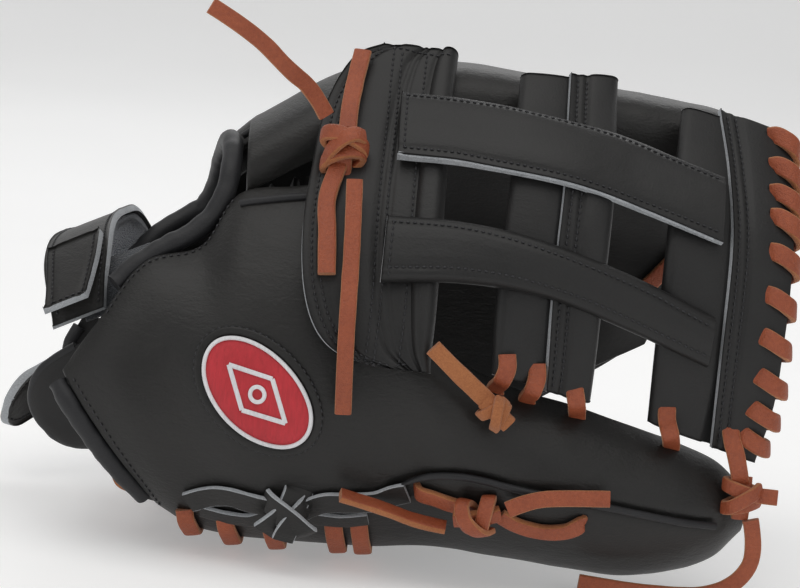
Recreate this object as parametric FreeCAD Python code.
"""Outfielder's baseball glove with a two-bar H web, worn on the left hand.

The glove stands palm down on its thumb edge and little-finger edge. Fingers point along +X,
the back of the hand is up (+Z) and the thumb side faces -Y. Units are millimetres.
Every leather piece is a thin sheet between two smooth surfaces; laces are solid strips.
"""
import FreeCAD, Part
import math
import os

V = FreeCAD.Vector

# ---------------------------------------------------------------- driving dimensions
GLOVE_STRETCH = 1.0        # scale along the fingers; 1 is a 12.75 inch pattern
LEATHER = 2.4              # shell leather
WEB_LEATHER = 2.6          # one web strap layer
LINER = 1.2                # soft hand lining
PALM_PAD = 4.0             # felt behind the palm
HEEL_PAD = 5.0             # felt in the heel
LAYER_GAP = 0.5            # air left between stacked layers
LACE_WIDTH = 7.5
LACE_THICK = 3.2
TAIL_DIAMETER = 5.5        # round section with about a flat lace's area
BINDING_RADIUS = 4.0       # rolled edge of the hand openings
WELT_RADIUS = 1.4          # piping between two leather panels
FINGER_HEIGHT = 17.0       # from a finger's middle plane to its crown
PALM_DROP = 11.0           # from the finger's middle plane to the palm leather
STRAP_WIDTH = 30.0
STRAP_THICK = 2.6
FLEECE = 3.5
PATCH_LENGTH = 50.0
PATCH_WIDTH = 31.0
HINGE_Y = -22.0            # thumb hinge, a line along X
HINGE_Z = 172.0
SPLIT_HALF = 1.5           # half of the slot between the thumb's solids and the hand's
REST_PITCH = 4.9           # turns the thumb edge level with the floor, degrees

OUT = "parts"
SHAPES = {}


# ---------------------------------------------------------------- smooth curves and nets
def along(points, t):
    """Catmull-Rom point at t, 0 to 1, on the curve through evenly numbered points."""
    count = len(points) - 1
    k = max(0, min(int(t * count), count - 1))
    f = t * count - k
    p1, p2 = points[k], points[k + 1]
    p0 = points[k - 1] if k > 0 else p1 * 2 - p2
    p3 = points[k + 2] if k + 2 <= count else p2 * 2 - p1
    return (p1 * 2 + (p2 - p0) * f + (p0 * 2 - p1 * 5 + p2 * 4 - p3) * f * f
            + (p1 * 3 - p0 - p2 * 3 + p3) * f ** 3) * 0.5


def number_along(values, t):
    """The same curve through plain numbers."""
    return along([V(v, 0, 0) for v in values], t).x


def steps(low, high, count):
    return [low + (high - low) * k / (count - 1) for k in range(count)]


def eased(low, high, count):
    """Steps that crowd together towards both ends."""
    return [low + (high - low) * (0.5 - 0.5 * math.cos(math.pi * t)) for t in steps(0, 1, count)]


def stretch(x, y, z):
    return V(x * GLOVE_STRETCH, y, z)


def smooth_step(low, high, value):
    t = min(1.0, max(0.0, (value - low) / (high - low)))
    return t * t * (3 - 2 * t)


# ---------------------------------------------------------------- solids
def normal_at(place, u, v):
    """Unit normal of a place function, from two small steps."""
    du, dv = 2e-3, 1e-3
    a = place(u + du, v) - place(u - du, v)
    b = place(u, v + dv) - place(u, v - dv)
    n = a.cross(b)
    return n.normalize()


def lifted(place, u, v, distance):
    return place(u, v) + normal_at(place, u, v) * distance


def skin(grid):
    surface = Part.BSplineSurface()
    surface.interpolate(grid)
    return surface


def sheet(place, us, vs, thickness, lift=0.0):
    """Closed solid between the surface lifted by lift and a copy that much further out."""
    points = [[(place(u, v), normal_at(place, u, v)) for v in vs] for u in us]
    low, high = (skin([[p + n * d for p, n in row] for row in points]) for d in (lift, lift + thickness))
    u0, u1, v0, v1 = low.bounds()
    faces = [low.toShape(), high.toShape()]
    for cut in (("uIso", u0), ("uIso", u1), ("vIso", v0), ("vIso", v1)):
        edges = [getattr(s, cut[0])(cut[1]).toShape() for s in (low, high)]
        faces.append(Part.makeRuledSurface(*edges))
    shell = Part.makeShell(faces)
    shell.sewShape()
    solid = Part.makeSolid(shell)
    return solid if solid.Volume > 0 else solid.reversed()


def frames(path, up):
    """Point, side and up directions along a path, turned as little as possible."""
    out, side = [], None
    for k, p in enumerate(path):
        ahead = path[min(k + 1, len(path) - 1)] - path[max(k - 1, 0)]
        ahead.normalize()
        side = up.cross(ahead) if side is None else side - ahead * side.dot(ahead)
        side.normalize()
        out.append((p, V(side), ahead.cross(side)))
    return out


def loft(rings):
    """Solid skin over planar rings of points, with flat ends."""
    surface = skin([ring + ring[:1] for ring in rings])
    u0, u1, _, _ = surface.bounds()
    faces = [surface.toShape()]
    for u in (u0, u1):
        faces.append(Part.Face(Part.Wire(surface.uIso(u).toShape())))
    shell = Part.makeShell(faces)
    shell.sewShape()
    solid = Part.makeSolid(shell)
    return solid if solid.Volume > 0 else solid.reversed()


def rod(path, width, thick, up=V(0, 0, 1), count=12, ups=None):
    """Strip or round rod of that section along a smooth path; width lies across up."""
    points = [along(path, t) for t in steps(0, 1, count)]
    power = 1.0 if width == thick else 0.7
    rings = []
    placed = frames(points, up)
    if ups:
        placed = []
        for k, p in enumerate(points):
            ahead = points[min(k + 1, count - 1)] - points[max(k - 1, 0)]
            side = along(ups, k / (count - 1)).cross(ahead)
            side.normalize()
            top = ahead.cross(side)
            placed.append((p, side, top.normalize()))
    for p, side, top in placed:
        ring = []
        for k in range(12):
            a = k * math.pi / 6
            c, s = math.cos(a), math.sin(a)
            ring.append(p + side * (math.copysign(abs(c) ** power, c) * width / 2)
                        + top * (math.copysign(abs(s) ** power, s) * thick / 2))
        rings.append(ring)
    return loft(rings)


def lace(path, up, count=12):
    return rod(path, LACE_WIDTH, LACE_THICK, up, count)


def rounded_wire(points, share=0.45, biggest=1e9, closed=False):
    """Straight runs joined by tangent arcs, and the arcs' radii."""
    order = list(range(len(points))) if closed else list(range(1, len(points) - 1))
    edges, radii, start = [], [], None if closed else points[0]
    first = None
    for k in order:
        before, after = points[k - 1] - points[k], points[(k + 1) % len(points)] - points[k]
        turn = math.pi - before.getAngle(after)
        if turn < 0.01:
            continue
        radius = min(biggest, share * min(before.Length, after.Length) / math.tan(turn / 2))
        back = radius * math.tan(turn / 2)
        before.normalize()
        after.normalize()
        into, out = points[k] + before * back, points[k] + after * back
        middle = before + after
        middle.normalize()
        top = points[k] + middle * (radius / math.cos(turn / 2) - radius)
        if start is not None:
            edges.append(Part.LineSegment(start, into).toShape())
        first = first or into
        edges.append(Part.Arc(into, top, out).toShape())
        start = out
        radii.append(round(radius, 1))
    edges.append(Part.LineSegment(start, first if closed else points[-1]).toShape())
    return Part.Wire(edges), radii


def cord_tube(name, points, diameter):
    """Round tube along straight runs and tangent arcs; prints the arcs' radii."""
    wire, radii = rounded_wire(points)
    profile = Part.Wire(Part.Circle(points[0], points[1] - points[0], diameter / 2).toShape())
    tube = wire.makePipeShell([profile], True, True)
    share = tube.Volume / (math.pi * diameter ** 2 / 4 * wire.Length)
    print("  cord", name, "radii", radii, "length", round(wire.Length, 1), "volume share", round(share, 3))
    return tube


def prism(outline, corner=4.0):
    """Block through the glove from side to side with that rounded outline in x and z."""
    points = [stretch(x, -150, z) for x, z in outline]
    wire, _ = rounded_wire(points, 0.45, corner, True)
    return Part.Face(wire).extrude(V(0, 260, 0))


def cut_out(solid, block):
    """The biggest piece of the sheet inside the block."""
    pieces = solid.common(block).Solids
    return max(pieces, key=lambda s: s.Volume)


def keep(name, *solids):
    SHAPES[name] = list(solids)


# ---------------------------------------------------------------- the hand's outer shape
# Thumb side skin from wrist to thumb tip: edge below, edge above, bulge towards -Y.
THUMB_COLUMNS = (
    ((-98, -50, 28), (-136, -60, 87), 13),
    ((-86, -48, 20), (-121, -58, 108), 22),
    ((-70, -46, 15), (-103, -46, 130), 32),
    ((-54, -46, 13), (-80, -42, 136), 40),
    ((-39, -46, 12), (-66, -33, 155), 45),
    ((-24, -46, 11), (-45, -36, 159), 45),
    ((-8, -46, 10), (-26, -40, 158), 42),
    ((6, -46, 10), (-8, -58, 138), 33),
    ((22, -46, 9), (12, -72, 103), 27),
    ((45, -46, 5), (42, -67, 83), 30),
    ((68, -46, 1), (68, -63, 74), 31),
    ((90, -46, -2), (92, -61, 65), 29),
    ((110, -46, 0), (112, -59, 57), 26),
    ((127, -48, 6), (129, -57, 48), 19),
    ((139, -54, 19), (140, -57, 35), 8),
)
# Height share of the welt between the thumb's back and its side panel, at the same columns.
WELT_SHARE = (0.004, 0.004, 0.004, 0.004, 0.004, 0.05, 0.18, 0.30, 0.42, 0.49, 0.53, 0.53,
              0.50, 0.46, 0.42)
ROUNDNESS = 0.7
THUMB_INNER_BULGE = 9.0

# Lines between the fingers (y, z) at stations from the knuckles to the tips.
FINGER_STATIONS = (-84, -62, -20, 20, 60, 100, 130)
GROOVES = (
    ((-35, 139), (-33, 158), (-27, 176), (-22, 184), (-20, 180), (-17, 173), (-12, 168)),
    ((18, 149), (18, 167), (17, 190), (19, 190), (19, 183), (21, 175), (22, 168)),
    ((50, 136), (52, 152), (56, 168), (57, 167), (55, 160), (52, 152), (50, 146)),
    ((76, 108), (80, 121), (84, 124), (84, 122), (80, 114), (76, 108), (72, 104)),
    ((82, 70), (84, 74), (84, 74), (84, 70), (79, 66), (75, 68), (72, 72)),
)
FINGERS = ("index", "middle", "ring", "little")
FINGER_START = {"index": -62, "middle": -70, "ring": -76}
FINGER_TIP = {"index": 152, "middle": 160, "ring": 150, "little": 122}
TIP_ROUND = 26.0

# Palm leather of the hand, from the thumb edge over the pocket to the little-finger edge.
PALM_COLUMNS = (
    ((-107, -46, 33), (-108, -32, 38), (-110, -12, 42), (-110, 14, 43), (-108, 40, 40), (-106, 58, 33)),
    ((-84, -44, 24), (-85, -38, 46), (-86, -22, 68), (-87, 12, 74), (-86, 50, 56), (-84, 68, 20)),
    ((-62, -44, 20), (-63, -42, 60), (-63, -32, 98), (-64, 8, 114), (-62, 62, 80), (-60, 75, 13)),
    ((-44, -44, 18), (-44, -43, 80), (-44, -36, 134), (-44, 4, 156), (-43, 64, 112), (-42, 80, 11)),
)
FAR_EDGE = ((-40, 80, 11), (0, 80, 12), (30, 79, 24), (60, 74, 44), (92, 72, 62), (116, 71, 76))

# Little-finger side skin, like the thumb's but bulging towards +Y.
LITTLE_COLUMNS = (
    ((-98, 62, 30), (-127, 62, 92), 12),
    ((-80, 72, 19), (-106, 64, 124), 20),
    ((-58, 79, 13.5), (-88, 72, 130), 22),
    ((-34, 82, 11), (-60, 85, 113), 18),
    ((-8, 83, 11), (-20, 89, 115), 18),
    ((22, 82, 21), (20, 89, 114), 18),
    ((56, 77, 42), (60, 84, 107), 18),
    ((88, 75, 60), (95, 81, 101), 15),
    ((112, 74, 76), (117, 78, 94), 8),
)


def bulged(columns, sign):
    """Place function of a skin whose columns bow out sideways between their two edges."""
    lows = [stretch(*c[0]) for c in columns]
    highs = [stretch(*c[1]) for c in columns]
    bows = [c[2] for c in columns]

    def place(u, v):
        low, high = along(lows, u), along(highs, u)
        bow = number_along(bows, u) * max(0.0, 4 * v * (1 - v)) ** ROUNDNESS
        return low + (high - low) * v + V(0, sign * bow, 0)
    return place


thumb_skin = bulged(THUMB_COLUMNS, -1)
little_skin = bulged(LITTLE_COLUMNS, 1)
THUMB_LOW = [stretch(*c[0]) for c in THUMB_COLUMNS]
THUMB_HIGH = [stretch(*c[1]) for c in THUMB_COLUMNS]


def thumb_inside(u, v):
    """Pocket side of the thumb, bowed the other way."""
    low, high = along(THUMB_LOW, u), along(THUMB_HIGH, u)
    shape = (4 * v * (1 - v)) ** ROUNDNESS
    return low + (high - low) * v + V(0, LEATHER + THUMB_INNER_BULGE * shape, 0)


def hinge_radius(p):
    return math.hypot(p.y - HINGE_Y, p.z - HINGE_Z)


def split_at(p):
    """The slot lies on a surface of revolution about the hinge, so both sides slide past it."""
    return GLOVE_STRETCH * (-41.5 + 9.5 * smooth_step(100, 112, hinge_radius(p)))


def u_at_split(place, v, side):
    """Column share where the skin at height v meets its side of the slot."""
    low, high = 0.15, 0.6
    for _ in range(30):
        u = (low + high) / 2
        p = place(u, v)
        if p.x < split_at(p) + side * SPLIT_HALF:
            low = u
        else:
            high = u
    return low


SEARCH = [(u, v, thumb_skin(u, v)) for u in steps(0, 1, 43) for v in steps(0.02, 0.98, 25)]


def near(x, z, lift=0.0):
    """Point of the thumb side skin at x and z, moved out from the leather by lift."""
    x *= GLOVE_STRETCH
    u, v, _ = min(SEARCH, key=lambda s: (s[2].x - x) ** 2 + (s[2].z - z) ** 2)
    d = 1e-4
    for _ in range(8):
        p = thumb_skin(u, v)
        pu = (thumb_skin(u + d, v) - p) * (1 / d)
        pv = (thumb_skin(u, v + d) - p) * (1 / d)
        det = pu.x * pv.z - pv.x * pu.z
        ex, ez = x - p.x, z - p.z
        u = min(0.999, max(0.001, u + (ex * pv.z - pv.x * ez) / det))
        v = min(0.995, max(0.005, v + (pu.x * ez - ex * pu.z) / det))
    p = thumb_skin(u, v)
    normal = (thumb_skin(u + d, v) - p).cross(thumb_skin(u, v + d) - p)
    return p + normal.normalize() * lift


def groove(index, x):
    """Point of groove line index at x along the fingers, before stretching."""
    first, last = FINGER_STATIONS[0], FINGER_STATIONS[-1]
    spots = [V(s, y, z) for s, (y, z) in zip(FINGER_STATIONS, GROOVES[index])]
    if x > last:
        slope = (spots[-1] - spots[-2]) * ((x - last) / (last - FINGER_STATIONS[-2]))
        return V(x, spots[-1].y + slope.y, spots[-1].z + slope.z)
    low = max(k for k, s in enumerate(FINGER_STATIONS[:-1]) if s <= max(x, first))
    step = FINGER_STATIONS[low + 1] - FINGER_STATIONS[low]
    p = along(spots, (low + (x - FINGER_STATIONS[low]) / step) / (len(spots) - 1))
    return V(x, p.y, p.z)


def tip_size(x, tip):
    share = max(0.0, (x - (tip - TIP_ROUND)) / TIP_ROUND)
    return math.sqrt(max(0.02, 1 - share * share))


def finger_point(index, x, angle, grow=0.0):
    """Outer skin of a finger: angle 0 at its thumb-side groove, pi at the other one."""
    size = tip_size(x, FINGER_TIP[FINGERS[index]])
    a, b = groove(index, x), groove(index + 1, x)
    middle, half = (a + b) * 0.5, (b - a) * 0.5
    up = V(1, 0, 0).cross(half)
    up.normalize()
    half += half * (grow / half.Length)
    c, s = math.cos(angle), math.sin(angle)
    across = half * (-math.copysign(abs(c) ** 0.8, c)) * size
    rise = up * (math.copysign(abs(s) ** 0.8, s) * (FINGER_HEIGHT + grow)) * size
    p = middle + across + rise
    return stretch(p.x, p.y, p.z)


# ---------------------------------------------------------------- shells
def thumb_parts():
    """The thumb's solids stop short of the hand's, so the two can turn about the hinge."""
    def from_split(place, end):
        def at(t, v):
            start = u_at_split(place, v, 1)
            return place(start + t * (end - start), v)
        return at

    def base(t, v):
        return thumb_skin(t * u_at_split(thumb_skin, v, -1), v)
    keep("thumb_base_back", sheet(base, steps(0, 1, 11), eased(0.004, 0.996, 17), -LEATHER))

    def back(t, s):
        low = number_along(WELT_SHARE, 0.34 + t * 0.66)
        low = low + 0.022 * smooth_step(0.004, 0.05, low)
        return from_split(thumb_skin, 0.998)(t, low + (0.996 - low) * (0.5 - 0.5 * math.cos(math.pi * s)))
    keep("thumb_back", sheet(back, steps(0, 1, 21), steps(0.01, 0.99, 15), -LEATHER))

    def side(t, s):
        u = 0.40 + t * 0.598
        high = max(0.03, number_along(WELT_SHARE, u) - 0.022)
        return thumb_skin(u, 0.004 + (high - 0.004) * (1 - math.cos(math.pi / 2 * s)))
    keep("thumb_side_panel", sheet(side, steps(0, 1, 17), steps(0.03, 1, 9), -LEATHER))

    inner = from_split(thumb_inside, 0.985)
    keep("thumb_palm", sheet(inner, steps(0, 1, 17), eased(0.012, 0.985, 15), LEATHER))
    keep("thumb_pad", sheet(inner, steps(0.08, 0.88, 15), eased(0.13, 0.85, 13),
                            PALM_PAD, LEATHER + 2 * LAYER_GAP))
    keep("thumb_lining", sheet(from_split(thumb_skin, 0.93), steps(0.05, 1, 15), eased(0.08, 0.9, 13),
                               -LINER, -(LEATHER + 2 * LAYER_GAP)))
    welt = [near(x, z, WELT_RADIUS + 0.4) for x, z in ((12, 48.2), (28, 48.2), (48, 43.6), (64, 40),
                                                      (80, 36.6), (96, 32.6), (112, 28.6), (124, 26))]
    keep("thumb_welt", rod(welt, 2 * WELT_RADIUS, 2 * WELT_RADIUS, V(0, -1, 0), 18))


def finger_backs():
    for index, name in enumerate(FINGERS[:3]):
        start, tip = FINGER_START[name], FINGER_TIP[name]

        def outside(t, s, grow=0.0):
            x = start + (tip - 0.8 - start) * (1 - (1 - t) ** 1.35)
            low = number_along((0.2, 0.05, -0.2, -0.3, -0.3), t) if index == 0 else 0.13
            return finger_point(index, x, low + (math.pi - 0.13 - low) * s)
        keep(name + "_back", sheet(outside, steps(0, 0.998, 19), steps(0, 1, 13), -LEATHER))
        keep(name + "_lining", sheet(outside, steps(0.04, 0.72, 15), steps(0.16, 0.84, 11),
                                     -LINER, -(LEATHER + 2 * LAYER_GAP)))
    welts = [rod([near(x, z, -0.5) + V(0, 1.2, 5.0) for x, z in ((-62, 153.6), (-55, 154.8), (-48, 155.6))],
                 2 * WELT_RADIUS, 2 * WELT_RADIUS, V(0, 0, 1), 8)]
    for k in (1, 2):
        path = []
        for x in steps(FINGER_START[FINGERS[k]] + 8, FINGER_TIP[FINGERS[k]] - 26, 9):
            a, b = groove(k - 1, x), groove(k + 1, x)
            up = V(1, 0, 0).cross(b - a)
            p = groove(k, x) + up.normalize() * 11.4
            path.append(stretch(p.x, p.y, p.z))
        welts.append(rod(path, 2 * WELT_RADIUS, 2 * WELT_RADIUS, count=16))
    keep("finger_welts", *welts)
    keep("little_back", sheet(little_skin, steps(0, 1, 17), eased(0.004, 0.975, 15), LEATHER))
    keep("little_lining", sheet(little_skin, steps(0.12, 0.88, 15), eased(0.1, 0.86, 11),
                                LINER, LEATHER + LAYER_GAP))


def palm_of_hand(u, v):
    return along([along([stretch(*p) for p in c], v) for c in PALM_COLUMNS], u)


def palm_of_fingers(t, v):
    """Palm leather under the fingers: v is 0 at the web and 1 at the little-finger edge."""
    tips = (132, 148, 156, 146, 116, 108)
    end = number_along(tips, v)
    x = -39 + (end + 39) * t
    lines = []
    for index in range(4):
        a, b = groove(index, x), groove(index + 1, x)
        up = V(1, 0, 0).cross(b - a)
        drop = PALM_DROP * tip_size(x, end + 3)
        lines.append((a + b) * 0.5 - up.normalize() * drop)
    edge = groove(0, x)
    far = along([V(*p) for p in FAR_EDGE], min(1.0, max(0.0, (x + 40) / 156)))
    lines = [V(x, edge.y + 5.5, edge.z - 7)] + lines + [V(x, far.y, far.z)]
    p = along(lines, v)
    hand = palm_of_hand(1, 0.53 + 0.47 * v)
    q = stretch(x, p.y, p.z)
    w = smooth_step(-46, 14, x)
    return V(q.x, hand.y + (q.y - hand.y) * w, hand.z + (q.z - hand.z) * w)


def build_palm():
    keep("palm_heel_leather", sheet(palm_of_hand, steps(0, 1, 11), steps(0, 1, 19), -LEATHER))
    keep("heel_pad", sheet(palm_of_hand, steps(0.2, 0.44, 8), steps(0.16, 0.86, 17),
                           HEEL_PAD, LAYER_GAP))
    keep("palm_pad", sheet(palm_of_hand, steps(0.5, 0.95, 9), steps(0.22, 0.84, 17),
                           PALM_PAD, LAYER_GAP))
    lift = max(HEEL_PAD, PALM_PAD) + 2 * LAYER_GAP + 0.5
    keep("palm_lining", sheet(palm_of_hand, steps(0.14, 0.95, 11), steps(0.22, 0.84, 17), LINER, lift))
    keep("palm_finger_leather", sheet(palm_of_fingers, steps(0, 1, 19), steps(0, 1, 19), -LEATHER))


# ---------------------------------------------------------------- bindings, cuff and strap
def beyond(place, u, v, du, dv, distance):
    """Point past a skin's edge, distance further along the skin's own direction."""
    p, q = place(u, v), place(u + du, v + dv)
    ahead = p - q
    return p + ahead.normalize() * distance


def bindings():
    gap = BINDING_RADIUS + 1.0
    near_side = [beyond(thumb_skin, 0, v, 0.03, 0, gap) for v in steps(0.97, 0.06, 7)]
    near_side = [p + V(0, 1.0, 0) for p in near_side]
    keep("wrist_binding_thumb_side", rod(near_side, 2 * BINDING_RADIUS, 2 * BINDING_RADIUS, V(1, 0, 0)))
    far_side = [beyond(little_skin, 0, v, 0.03, 0, gap) for v in steps(0.95, 0.06, 7)]
    far_side = [p + V(0, 1.0, 0) for p in far_side]
    keep("wrist_binding_little_side", rod(far_side, 2 * BINDING_RADIUS, 2 * BINDING_RADIUS, V(1, 0, 0)))
    heel = [beyond(palm_of_hand, 0, v, 0.05, 0, gap - 1) + V(0, 0, 1.0) for v in steps(0.1, 0.93, 8)]
    keep("wrist_binding_heel", rod(heel, 2 * BINDING_RADIUS - 2, 2 * BINDING_RADIUS - 2))
    rim = [beyond(thumb_skin, u, 0.996, 0, -0.03, gap) + V(0, 2, 0) for u in steps(0.1, 0.275, 6)]
    for index, name in enumerate(FINGERS[:3]):
        start = FINGER_START[name]
        for a in ((0.9, 2.1) if index else (0.5, 1.2, 2.2)):
            p, q = finger_point(index, start, a), finger_point(index, start + 4, a)
            rim.append(p + (p - q).normalize() * (gap + 1.8))
    for u in (0.20, 0.13, 0.06):
        rim.append(beyond(little_skin, u, 0.975, 0, -0.03, gap + 1.2))
    keep("back_opening_binding", rod(rim, 2 * BINDING_RADIUS, 2 * BINDING_RADIUS, V(0, 0, 1), 44))


CUFF = (
    # start and end of the lining's run across, from the thumb side round the heel
    ((-114, -50, 92), (-126, -42, 96)),
    ((-108, -50, 76), (-147, -38, 82)),
    ((-104, -47, 62), (-151, -34, 66)),
    ((-104, -41, 53), (-138, -34, 52)),
    ((-106, -22, 55), (-124, -18, 53)),
    ((-107, 8, 57), (-121, 8, 54)),
    ((-106, 34, 55), (-124, 32, 52)),
    ((-104, 48, 57), (-136, 46, 56)),
    ((-106, 56, 70), (-146, 50, 72)),
    ((-112, 58, 84), (-138, 52, 88)),
)


def cuff():
    starts = [stretch(*c[0]) for c in CUFF]
    ends = [stretch(*c[1]) for c in CUFF]

    def place(u, v):
        a, b = along(starts, v), along(ends, v)
        return a + (b - a) * u
    keep("cuff_lining", sheet(place, steps(0, 1, 6), steps(0, 1, 25), 2 * LINER + 1))


STRAP_LINE = ((-113, 93, 76), (-118, 92, 96), (-123, 83, 115), (-127, 61, 127), (-130, 32, 131),
              (-132, 4, 132), (-132, -20, 128), (-131, -36, 117), (-130, -42, 104))
STRAP_ACROSS = V(0.93, 0, 0.37)
END_TAB = ((-112, 80, 70), (-130, 81, 64), (-148, 76, 57), (-162, 66, 50), (-171, 54, 46))
END_TAB_WIDTH = 24.0


def strap_place(u, v):
    p = along([stretch(*q) for q in STRAP_LINE], v)
    narrow = 1 - 0.22 * smooth_step(0.75, 1.0, v)
    return p + STRAP_ACROSS * ((u - 0.5) * STRAP_WIDTH * narrow)


def strap():
    """The strap's surface normal points in, towards the wrist."""
    us = steps(0, 1, 4)
    keep("wrist_strap", sheet(strap_place, us, steps(0.055, 1, 19), -STRAP_THICK))
    keep("strap_fleece", sheet(strap_place, steps(0.06, 0.94, 4), steps(0.14, 0.8, 15),
                               FLEECE, LAYER_GAP))
    keep("strap_hook_patch", sheet(strap_place, steps(0.1, 0.9, 4), steps(0.83, 0.97, 6),
                                   1.5, LAYER_GAP))

    def tab(u, v):
        p = strap_place(0.1 + 0.8 * u, 0.74 + 0.24 * v)
        return p + V(-0.35, -1, 0.3) * (9 * v * v)
    keep("pull_tab", sheet(tab, us, steps(0, 1, 9), -STRAP_THICK, -(STRAP_THICK + LAYER_GAP)))
    keep("strap_keeper", sheet(strap_place, steps(0.55, 1.5, 6), steps(0.78, 1.0, 7), 2.0, 5.0))

    def anchor(u, v):
        p = strap_place(0.3 + 0.7 * u, 0.03)
        return p + V(2, 3.4, -2) + V(4, -1.4, -26) * (v - 0.1)
    keep("strap_anchor", sheet(anchor, us, steps(0.15, 1, 5), -STRAP_THICK))

    def end_tab(u, v):
        rounding = math.sqrt(1 - 0.9 * max(0.0, (v - 0.78) / 0.22) ** 2)
        p = along([stretch(*q) for q in END_TAB], v)
        return p + V(0.25, 0.1, 0.96) * ((u - 0.5) * END_TAB_WIDTH * rounding)
    keep("strap_end_tab", sheet(end_tab, us, steps(0, 1, 13), -(STRAP_THICK + 2)))


# ---------------------------------------------------------------- H web
WEB_X = (-45, -12, 20, 55, 90, 125, 162)
WEB_Z = (45, 70, 95, 120, 145, 170, 195, 216)
WEB_Y = (
    (-95, -95, -92, -85, -72, -53, -28, -6),
    (-92, -92, -91, -84, -72, -54, -29, -6),
    (-88, -90, -90, -83, -72, -56, -31, -6),
    (-72, -74, -78, -77, -72, -59, -32, -8),
    (-64, -68, -71, -71, -65, -48, -21, -2),
    (-60, -64, -66, -65, -57, -38, -12, 4),
    (-57, -60, -61, -57, -46, -24, -2, 12),
)


def web_place(x, z, lift=0.0):
    """Point of the web's middle surface, moved out by lift."""
    def at(px, pz):
        v = (pz - WEB_Z[0]) / (WEB_Z[-1] - WEB_Z[0])
        u = (px - WEB_X[0]) / (WEB_X[-1] - WEB_X[0])
        row = [number_along(ys, min(1.0, max(0.0, v))) for ys in WEB_Y]
        return stretch(px, number_along(row, min(1.0, max(0.0, u))), pz)
    p = at(x, z)
    normal = (at(x + 0.5, z) - p).cross(at(x, z + 0.5) - p)
    return p + normal.normalize() * lift


def web_share(s, t):
    return web_place(-44 + 205 * s, 46 + 169 * t)


def web_sheet(thickness, lift):
    return sheet(web_share, steps(0, 1, 13), steps(0, 1, 13), thickness, lift)


def web_out(x, z):
    return web_place(x, z, 1) - web_place(x, z)


def near_out(x, z):
    return near(x, z, 1) - near(x, z)


def on_skin(points, width, thick, lift, place=None, count=14):
    """Strip lying along the thumb skin, or along the web, through those x and z points."""
    place = place or near
    flat = [V(x, 0, z) for x, z in points]
    where = [along(flat, t) for t in steps(0, 1, count)]
    ups = [place(q.x, q.z, 1) - place(q.x, q.z, 0) for q in where]
    return rod([place(q.x, q.z, lift + thick / 2) for q in where], width, thick, count=count, ups=ups)


CROTCH_PLATE = ((-24, 210), (14, 212), (24, 208), (18, 158), (12, 92), (-4, 93), (-22, 99),
                (-32, 106), (-38, 120), (-39, 143), (-36, 165), (-30, 191))
MIDDLE_POST = ((49, 201), (88, 197), (84, 156), (79, 117), (75, 77), (36, 90), (38, 122), (44, 165))
MIDDLE_FLAP = ((68, 199), (88, 197), (84, 156), (79, 117), (75, 77), (56, 83), (59, 120), (64, 160))
TIP_POST = ((115, 187), (138, 182), (158, 173), (156, 134), (150, 74), (142, 50), (117, 60), (99, 67),
            (102, 104), (107, 147))
TIP_COVER = ((129, 184), (138, 182), (158, 173), (156, 134), (150, 74), (142, 50), (124, 57), (127, 100),
             (131, 140))
UPPER_BAR = ((1, 191), (26, 188), (51, 185), (90, 173), (128, 159), (126, 136), (95, 147), (63, 160.5),
             (30, 165), (-1, 167.5))
LOWER_BAR = ((-5, 148), (25, 146), (55, 141), (90, 127), (124, 110), (121, 90.5), (88, 106), (55, 120.5),
             (24, 124), (-8, 124.5))


def web():
    plate, base = web_sheet(WEB_LEATHER + 0.8, 0), web_sheet(WEB_LEATHER, 0)
    cover = web_sheet(WEB_LEATHER, WEB_LEATHER + LAYER_GAP)
    bars = web_sheet(2 * WEB_LEATHER - 1.2, 2 * WEB_LEATHER + 2 * LAYER_GAP)
    keep("web_crotch_plate", cut_out(plate, prism(CROTCH_PLATE, 12)))
    keep("web_middle_post", cut_out(base, prism(MIDDLE_POST, 6)))
    keep("web_middle_flap", cut_out(cover, prism(MIDDLE_FLAP, 3)))
    keep("web_tip_post", cut_out(base, prism(TIP_POST, 6)))
    keep("web_tip_cover", cut_out(cover, prism(TIP_COVER, 3)))
    keep("web_upper_bar", cut_out(bars, prism(UPPER_BAR, 3)))
    keep("web_lower_bar", cut_out(bars, prism(LOWER_BAR, 3)))


TIP_EDGE = ((158, 173), (157, 152), (156, 134), (153, 104), (150, 74), (143, 52))
TIP_WRAPS = 10


def web_laces():
    wraps = []
    for k in range(TIP_WRAPS):
        t = (k + 0.5) / TIP_WRAPS
        e = along([V(x, 0, z) for x, z in TIP_EDGE], t)
        out = 2 * WEB_LEATHER + LAYER_GAP + LACE_THICK / 2 + 1.5
        back = -(LACE_THICK / 2 + 1.2)
        path = [web_place(e.x - 9, e.z + 2, out), web_place(e.x - 2, e.z + 0.6, out + 0.7),
                web_place(e.x + 3.4, e.z - 0.2, out - 2.2), web_place(e.x + 4.4, e.z - 0.8, 2.6),
                web_place(e.x + 3.2, e.z - 1.4, back + 1.4), web_place(e.x - 2, e.z - 2.4, back - 0.6),
                web_place(e.x - 8, e.z - 3.6, back)]
        wraps.append(lace(path, V(0, -1, 0), 14))
    keep("web_tip_lacing", *wraps)
    ties = []
    for x, z, foot_x, foot_z in ((40, 93, 37, 81.5), (52, 89, 50, 76.5), (68, 84, 70, 70), (106, 69, 108, 56.5)):
        out = 2 * WEB_LEATHER + LAYER_GAP + LACE_THICK / 2 + 2.0
        top, foot = web_place(x, z, out), near(foot_x, foot_z, LACE_THICK / 2 + 0.9)
        middle = (top + foot) * 0.5 + V(0, -6.0, 0)
        ties.append(lace([top, middle, foot], V(0, -1, 0.3), 8))
    keep("web_thumb_lacing", *ties)


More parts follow.
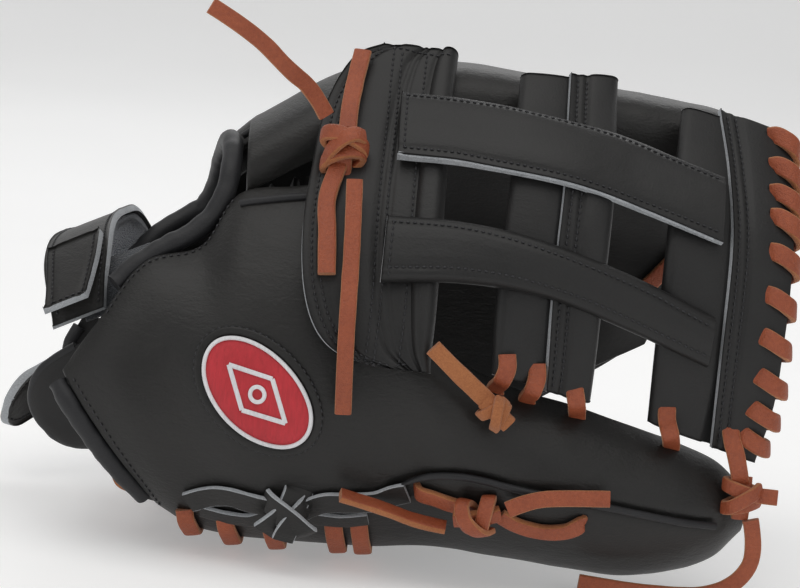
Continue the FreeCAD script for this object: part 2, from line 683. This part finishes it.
# ---------------------------------------------------------------- edge lacing and ties
def edge_wrap(u, reach):
    """One lace turn round the thumb's lower edge, from the outside to the pocket side."""
    lift = LACE_THICK / 2 + 2.1
    inner_high = thumb_inside(u, 0.05) + V(0, lift + 1.2, 0)
    inner_low = thumb_inside(u, 0.015) + V(0, lift + 0.8, -1.2)
    path = [lifted(thumb_skin, u, reach, lift), lifted(thumb_skin, u, reach * 0.5, lift + 0.2),
            lifted(thumb_skin, u, 0.012, lift), inner_low, inner_high]
    return lace(path, V(0, -1, 0), 14)


def thumb_edge_lacing():
    keep("thumb_edge_lacing", *[edge_wrap(u, 0.06) for u in (0.353, 0.398)])


def lumps(centre, out, tall, wide):
    """A knot: an upright core strand and two strands lying across it."""
    side = out.cross(tall)
    side.normalize()
    tall = V(tall)
    tall.normalize()
    half = wide / 2
    parts = [rod([centre - tall * half * 1.15, centre, centre + tall * half * 1.15], LACE_WIDTH, 4.4, out, 6)]
    for shift, lean in ((-4.3, 0.15), (4.3, -0.1)):
        c = centre + tall * shift
        ends = [c - side * half * 1.05 - tall * lean * 10 + out * 2.2, c - side * half * 0.75 + out * 4.2,
                c + out * 5.0, c + side * half * 0.75 + out * 4.2,
                c + side * half * 1.05 + tall * lean * 10 + out * 2.2]
        parts.append(rod(ends, 6.4, 3.2, out, 10))
    return parts


def strand(points, out, count=10):
    return lace(points, out, count)


def crotch_centre():
    return web_place(-22, 169, 10.5)


def tip_centre():
    return near(135.5, 38) + V(1.5, -10, -1)


def knots():
    out = V(0, -1, 0)
    face = web_out(-22, 169)
    keep("crotch_knot", *lumps(crotch_centre(), face, V(1, 0, -0.1).cross(face), 16), on_skin(((-20.5, 181), (-18, 192), (-15.5, 204)), LACE_WIDTH, LACE_THICK, 4.2,
                                     web_place, 8),
         on_skin(((-29, 158), (-28.5, 146), (-27.5, 128)), LACE_WIDTH, LACE_THICK, 4.0, web_place, 8))
    foot = web_place(34.5, 77, 9.5)
    keep("web_foot_knot", *lumps(foot, out, V(0.5, 0, 1), 15),
         strand([foot + V(-8, 0, 9), foot + V(-15, -1, 17), foot + V(-24, -2, 26)], out))
    thumb = near(31.7, 35, 6.0)
    keep("thumb_knot", *lumps(thumb, near_out(31.7, 35), V(1, 0, 0.15), 16), on_skin(((43.5, 29.5), (56, 26.5), (70, 29.5)), LACE_WIDTH, LACE_THICK, 1.2),
         on_skin(((9, 40.5), (14, 38.8), (19, 37.4)), LACE_WIDTH, LACE_THICK, 4.4, near, 6))
    tip = tip_centre()
    keep("tip_knot", *lumps(tip, out, V(0.1, 0, 1), 15), strand([web_place(131, 61, 10), web_place(132, 57, 12), tip + V(-2, -4.6, 13)],
                                 out, 8),
         strand([tip + V(11, -1.5, 1), tip + V(12.5, -1.5, -4), tip + V(12.5, -1.5, -12)], out, 8))


def cords():
    """Long free lace tails as tubes; each starts just clear of its knot."""
    c = crotch_centre()
    keep("crotch_tail_up", cord_tube("crotch_tail_up", [
        c + V(-7, -5, 14), c + V(-12, -10, 25), stretch(-43, c.y - 18, 209),
        stretch(-56, c.y - 22, 224), stretch(-73, c.y - 24, 235)], TAIL_DIAMETER))
    keep("crotch_tail_down", cord_tube("crotch_tail_down", [
        web_place(-17.5, 157, 14), web_place(-18.5, 140, 9), web_place(-20, 121, 8.2),
        web_place(-21.5, 100, 9), near(-23, 76, 7)], TAIL_DIAMETER))
    keep("thumb_tail_right", cord_tube("thumb_tail_right", [
        near(43.5, 39.5, 7.6), near(52, 42.5, 6.4), near(66, 42, 5.6), near(82, 40.5, 5.6)], TAIL_DIAMETER))
    keep("thumb_tail_left", cord_tube("thumb_tail_left", [
        near(20, 31, 7.6), near(8, 33.5, 8.8), near(-7, 39, 8.8), near(-24, 44.5, 8)], TAIL_DIAMETER))
    y = tip_centre().y
    bend = ((140.5, -1, 28), (143, -1, 14.5), (137, 0, 2.5), (124.5, 2, -4), (108, 3, -4), (90, 3, -2), (72, 2, 1.6))
    keep("tip_tail", cord_tube("tip_tail", [stretch(px, y + dy, pz) for px, dy, pz in bend], TAIL_DIAMETER))


def thong_and_loop():
    """Leather thong of the thumb loop: it lies on the skin and is tied in a flat knot."""
    keep("thumb_loop_thong", on_skin(((-84, 34), (-72, 37), (-60, 37), (-55.5, 36)), 9, 2.2, 0.9),
         on_skin(((-56.5, 28.2), (-64, 27), (-72, 28), (-80, 29.5)), 6, 2.2, 0.9))
    centre, face = near(-45, 34, 5.0), near_out(-45, 34)
    keep("thumb_loop_knot", rod([centre + V(-6, 0, -6), centre, centre + V(6, 0, 6)],
                                11, 3.6, face, 6),
         rod([centre + V(-6, 0, 6) + face * 6.2, centre + face * 6.4, centre + V(6, 0, -7) + face * 6.2],
             9, 3.0, face, 8))
    keep("thumb_loop_thong_end", on_skin(((-29, 37), (-20, 36), (-10, 37), (0, 39.5)), 9, 2.2, 0.9),
         on_skin(((-28, 28.5), (-22, 27.5), (-13, 28.5)), 6, 2.2, 0.9))


# ---------------------------------------------------------------- oval patch
PATCH_X, PATCH_Z, PATCH_TILT = -56.0, 82.0, 45.0


def oval_block(length, width):
    spin = FreeCAD.Rotation(V(0, 1, 0), PATCH_TILT)
    ellipse = Part.Ellipse(V(), length / 2, width / 2).toShape()
    ellipse.Placement = FreeCAD.Placement(V(PATCH_X * GLOVE_STRETCH, -150, PATCH_Z),
                                          spin.multiply(FreeCAD.Rotation(V(1, 0, 0), 90)))
    return Part.Face(Part.Wire(ellipse)).extrude(V(0, 110, 0))


def patch():
    def cover(s, t):
        return near(PATCH_X + s, PATCH_Z + t)
    across = steps(-29, 29, 11)
    ring = sheet(cover, across, across, 1.2, 0.4).common(oval_block(PATCH_LENGTH + 8, PATCH_WIDTH + 8))
    keep("patch_ring", ring.cut(oval_block(PATCH_LENGTH + 0.6, PATCH_WIDTH + 0.6)).Solids[0])
    keep("oval_patch", cut_out(sheet(cover, across, across, 2.0, 0.4), oval_block(PATCH_LENGTH, PATCH_WIDTH)))


# ---------------------------------------------------------------- fingertip, heel and far side lacing
def far_edge(x):
    """The palm leather's little-finger edge at x."""
    line = [V(*c[-1]) for c in PALM_COLUMNS] + [V(*p) for p in FAR_EDGE[1:]]
    for a, b in zip(line, line[1:]):
        if x <= b.x:
            return a + (b - a) * ((x - a.x) / (b.x - a.x))
    return line[-1]


def other_lacing():
    clear = LACE_THICK / 2 + 0.9
    turns = []
    for v in (0.34, 0.50, 0.68):
        path = [lifted(palm_of_fingers, 0.88, v + d, -(LEATHER + clear + rise))
                for d, rise in ((-0.055, 0), (-0.028, 0.3), (0, 0.4), (0.028, 0.3), (0.055, 0))]
        ups = [normal_at(palm_of_fingers, 0.88, v + d) for d in (-0.055, 0, 0.055)]
        turns.append(rod(path, LACE_WIDTH, LACE_THICK, count=8, ups=ups))
    keep("fingertip_lacing", *turns)
    heel = [edge_wrap(u, 0.075) for u in (0.085, 0.155, 0.235)]
    around = BINDING_RADIUS - 0.8 + clear
    for v in (0.2, 0.36, 0.52, 0.68, 0.84):
        centre = beyond(palm_of_hand, 0, v, 0.05, 0, BINDING_RADIUS) + V(0, 0, 1.0)
        ahead = beyond(palm_of_hand, 0, v, 0.05, 0, 1) - palm_of_hand(0, v)
        top = normal_at(palm_of_hand, 0.02, v)
        heel.append(lace([lifted(palm_of_hand, 0.16, v, -(LEATHER + clear + 0.8)),
                          centre - top * (around + 1.8) - ahead * 2, centre + (ahead - top) * (around * 0.75),
                          centre + ahead * around, centre + (ahead + top) * (around * 0.72),
                          centre + top * (around + 0.3) - ahead * 1.0], top * -1, 16))
    keep("heel_lacing", *heel)
    far = []
    lows = [stretch(*c[0]) for c in LITTLE_COLUMNS]
    for x in (-88, -72, -56, -24, -6, 12):
        u = min(steps(0, 0.8, 400), key=lambda s: abs(along(lows, s).x - x * GLOVE_STRETCH))
        p = far_edge(x)
        inner = stretch(p.x, p.y - LEATHER - clear - 5.4, p.z)
        floor = min(inner.z, little_skin(u, 0.004).z) - clear - 0.7
        far.append(lace([lifted(little_skin, u, 0.06, -clear - 0.4), lifted(little_skin, u, 0.03, -(clear + 0.9)),
                         V(inner.x, p.y + 5.5, floor), V(inner.x, p.y - 2, floor - 0.4),
                         V(inner.x, inner.y, inner.z + 0.5), V(inner.x, inner.y - 3.0, inner.z + 6)],
                        V(0, 1, 0), 16))
    keep("little_side_lacing", *far)


for make in (finger_backs, build_palm, bindings, cuff, strap, web, web_laces, thumb_edge_lacing,
             knots, cords, thong_and_loop, patch, other_lacing, thumb_parts):
    make()


# ---------------------------------------------------------------- stand on the floor, centred
CORDS = ("crotch_tail_up", "crotch_tail_down", "thumb_tail_right", "thumb_tail_left", "tip_tail")


def settle_and_write():
    turn = FreeCAD.Placement(V(), FreeCAD.Rotation(V(0, 1, 0), -REST_PITCH))
    box = FreeCAD.BoundBox()
    for name, solids in SHAPES.items():
        for s in solids:
            s.Placement = turn.multiply(s.Placement)
            if name not in CORDS:
                for p in s.tessellate(0.2)[0]:
                    box.add(p)
    shift = V(-(box.XMin + box.XMax) / 2, -(box.YMin + box.YMax) / 2, -box.ZMin)
    os.makedirs(OUT, exist_ok=True)
    for name, solids in SHAPES.items():
        for s in solids:
            s.translate(shift)
        Part.makeCompound(solids).exportStep(os.path.join(OUT, name + ".step"))
        print(name, [s.isValid() for s in solids], round(sum(s.Volume for s in solids) / 1000, 2))
    hinge = turn.multVec(V(0, HINGE_Y, HINGE_Z)) + shift
    axis = turn.multVec(V(1, 0, 0))
    strap = turn.multVec(stretch(*STRAP_LINE[0]) + V(0, 0, -2)) + shift
    print("box", box.XLength, box.YLength, box.ZLength, "shift", shift)
    print("thumb hinge", hinge, "axis", axis, "strap hinge", strap, "axis", turn.multVec(STRAP_ACROSS))


settle_and_write()
